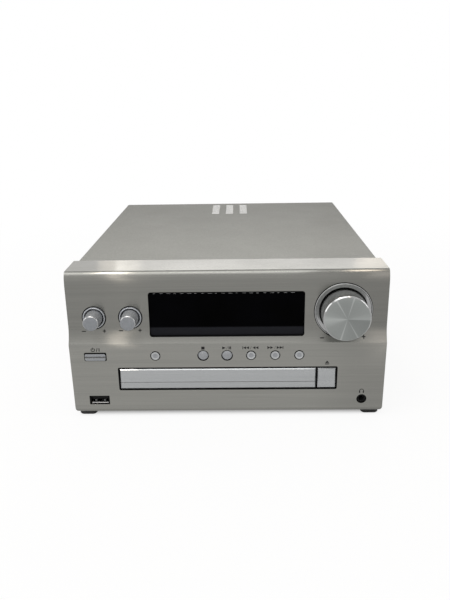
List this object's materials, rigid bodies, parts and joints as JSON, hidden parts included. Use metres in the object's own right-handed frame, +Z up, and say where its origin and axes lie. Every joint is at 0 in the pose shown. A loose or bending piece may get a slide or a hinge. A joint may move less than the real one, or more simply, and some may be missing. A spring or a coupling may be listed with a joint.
{
  "type": "compact disc receiver",
  "caption": "Compact disc receiver with a silver front panel, a display, a volume knob, two tone knobs, push buttons, a sliding disc tray, a steel case and the disc loader and boards inside.",
  "frame": {"origin": "on the floor plane under the middle of the overall box, between the volume knob's face and the ends of the speaker caps", "axes": "+X to the right of the front panel as seen from the front, +Y from the front to the rear, +Z up"},
  "size_m": [0.211, 0.267, 0.1037],
  "materials": {
    "brushed_aluminium": "brushed along its width, satin, silver",
    "silver_button": "satin silver paint",
    "spun_aluminium": "face spun, chamfer polished",
    "chrome_trim": "mirror plated",
    "painted_steel": "satin silver-grey paint",
    "zinc_steel": "zinc plated",
    "bright_steel": "bright",
    "dark_steel": "varnished laminations",
    "heatsink_aluminium": "plain extrusion",
    "black_gloss": "polished, nearly black",
    "black_plastic": "fine grain",
    "grey_plastic": "moulded, satin",
    "white_plastic": "moulded, natural",
    "red_plastic": "moulded, semi-gloss",
    "rubber": "matt black",
    "circuit_board": "green solder resist"
  },
  "bodies": {
    "case": {"front_panel": "brushed_aluminium", "front_frame": "black_plastic", "front_board": "circuit_board", "display_window": "black_gloss", "display_module": "grey_plastic", "volume_ring": "chrome_trim", "bass_ring": "chrome_trim", "treble_ring": "chrome_trim", "volume_encoder": "grey_plastic", "bass_encoder": "grey_plastic", "treble_encoder": "grey_plastic", "usb_socket": "bright_steel", "headphone_jack": "black_plastic", "loader_chassis": "grey_plastic", "loading_motor": "bright_steel", "drive_belt": "rubber", "clamp_bridge": "zinc_steel", "bottom_chassis": "zinc_steel", "top_cover": "painted_steel", "rear_panel": "painted_steel", "main_board": "circuit_board", "power_transformer": "dark_steel", "heatsink": "heatsink_aluminium", "power_inlet": "black_plastic", "rear_sockets": "black_plastic", "speaker_terminals": "black_plastic", "foot_front_left": "rubber", "foot_front_right": "rubber", "foot_rear_left": "rubber", "foot_rear_right": "rubber"},
    "volume": {"volume_knob": "spun_aluminium", "volume_shaft": "bright_steel"},
    "bass": {"bass_knob": "spun_aluminium", "bass_shaft": "bright_steel"},
    "treble": {"treble_knob": "spun_aluminium", "treble_shaft": "bright_steel"},
    "favourite": {"favourite_button": "silver_button"},
    "stop": {"stop_button": "silver_button"},
    "play_pause": {"play_pause_button": "silver_button"},
    "skip_back": {"skip_back_button": "silver_button"},
    "skip_forward": {"skip_forward_button": "silver_button"},
    "selector": {"selector_button": "silver_button"},
    "power": {"power_button": "silver_button"},
    "eject": {"eject_button": "silver_button"},
    "tray": {"disc_tray": "black_plastic", "tray_door": "silver_button"},
    "gear": {"loading_gear": "white_plastic"},
    "pulley": {"motor_pulley": "white_plastic"},
    "traverse": {"traverse_deck": "zinc_steel", "spindle_motor": "bright_steel", "sled_rod": "bright_steel"},
    "table": {"turntable": "black_plastic"},
    "pickup": {"pickup_sled": "grey_plastic"},
    "screw": {"sled_screw": "bright_steel"},
    "clamp": {"clamper": "white_plastic"},
    "cap_left_red": {"speaker_cap_left_red": "red_plastic"},
    "cap_left_black": {"speaker_cap_left_black": "black_plastic"},
    "cap_right_red": {"speaker_cap_right_red": "red_plastic"},
    "cap_right_black": {"speaker_cap_right_black": "black_plastic"}
  },
  "joints": [
    {"name": "volume_turn", "type": "hinge", "parent": "case", "child": "volume", "pos_m": [0.0765, -0.1195, 0.0762], "axis": [0, 1, 0], "continuous": true},
    {"name": "bass_turn", "type": "hinge", "parent": "case", "child": "bass", "pos_m": [-0.0878, -0.1195, 0.0726], "axis": [0, 1, 0], "continuous": true},
    {"name": "treble_turn", "type": "hinge", "parent": "case", "child": "treble", "pos_m": [-0.0637, -0.1195, 0.0726], "axis": [0, 1, 0], "continuous": true},
    {"name": "favourite_press", "type": "slide", "parent": "case", "child": "favourite", "axis": [0, 1, 0], "range_m": [0, 0.0005], "stiffness_N_per_m": 1500, "springref_m": -0.0002},
    {"name": "stop_press", "type": "slide", "parent": "case", "child": "stop", "axis": [0, 1, 0], "range_m": [0, 0.0005], "stiffness_N_per_m": 1500, "springref_m": -0.0002},
    {"name": "play_pause_press", "type": "slide", "parent": "case", "child": "play_pause", "axis": [0, 1, 0], "range_m": [0, 0.0005], "stiffness_N_per_m": 1500, "springref_m": -0.0002},
    {"name": "skip_back_press", "type": "slide", "parent": "case", "child": "skip_back", "axis": [0, 1, 0], "range_m": [0, 0.0005], "stiffness_N_per_m": 1500, "springref_m": -0.0002},
    {"name": "skip_forward_press", "type": "slide", "parent": "case", "child": "skip_forward", "axis": [0, 1, 0], "range_m": [0, 0.0005], "stiffness_N_per_m": 1500, "springref_m": -0.0002},
    {"name": "selector_press", "type": "slide", "parent": "case", "child": "selector", "axis": [0, 1, 0], "range_m": [0, 0.0005], "stiffness_N_per_m": 1500, "springref_m": -0.0002},
    {"name": "power_press", "type": "slide", "parent": "case", "child": "power", "axis": [0, 1, 0], "range_m": [0, 0.0005], "stiffness_N_per_m": 1500, "springref_m": -0.0002},
    {"name": "eject_press", "type": "slide", "parent": "case", "child": "eject", "axis": [0, 1, 0], "range_m": [0, 0.0005], "stiffness_N_per_m": 1500, "springref_m": -0.0002},
    {"name": "tray_slide", "type": "slide", "parent": "case", "child": "tray", "axis": [0, -1, 0], "range_m": [0, 0.1288]},
    {"name": "gear_turn", "type": "hinge", "parent": "case", "child": "gear", "pos_m": [0.03735, -0.0871, 0.02], "axis": [0, 0, 1], "range_deg": [-1230, 0]},
    {"name": "pulley_turn", "type": "hinge", "parent": "case", "child": "pulley", "pos_m": [0.00335, -0.0871, 0.02], "axis": [0, 0, 1], "range_deg": [-3616, 0]},
    {"name": "traverse_tilt", "type": "hinge", "parent": "case", "child": "traverse", "pos_m": [-0.00665, 0.0325, 0.0182], "axis": [1, 0, 0], "range_deg": [0, 3]},
    {"name": "table_turn", "type": "hinge", "parent": "traverse", "child": "table", "pos_m": [-0.00665, -0.0519, 0.02], "axis": [0, 0, 1], "continuous": true},
    {"name": "clamp_turn", "type": "hinge", "parent": "case", "child": "clamp", "pos_m": [-0.00665, -0.0519, 0.04], "axis": [0, 0, 1], "continuous": true},
    {"name": "pickup_slide", "type": "slide", "parent": "traverse", "child": "pickup", "axis": [0, 1, 0], "range_m": [0, 0.034]},
    {"name": "screw_turn", "type": "hinge", "parent": "traverse", "child": "screw", "pos_m": [-0.02815, -0.01, 0.019], "axis": [0, 1, 0], "range_deg": [0, 1002]},
    {"name": "cap_left_red_turn", "type": "hinge", "parent": "case", "child": "cap_left_red", "pos_m": [0.057, 0.128, 0.0465], "axis": [0, 1, 0], "range_deg": [0, 900]},
    {"name": "cap_left_black_turn", "type": "hinge", "parent": "case", "child": "cap_left_black", "pos_m": [0.057, 0.128, 0.0295], "axis": [0, 1, 0], "range_deg": [0, 900]},
    {"name": "cap_right_red_turn", "type": "hinge", "parent": "case", "child": "cap_right_red", "pos_m": [0.079, 0.128, 0.0465], "axis": [0, 1, 0], "range_deg": [0, 900]},
    {"name": "cap_right_black_turn", "type": "hinge", "parent": "case", "child": "cap_right_black", "pos_m": [0.079, 0.128, 0.0295], "axis": [0, 1, 0], "range_deg": [0, 900]}
  ],
  "couplings": [
    {"joint": "gear_turn", "follows": "tray_slide", "rad_per_m": -166.67},
    {"joint": "pulley_turn", "follows": "tray_slide", "rad_per_m": -489.9},
    {"joint": "screw_turn", "follows": "pickup_slide", "rad_per_m": 514.25},
    {"joint": "clamp_turn", "follows": "table_turn", "ratio": 1}
  ]
}
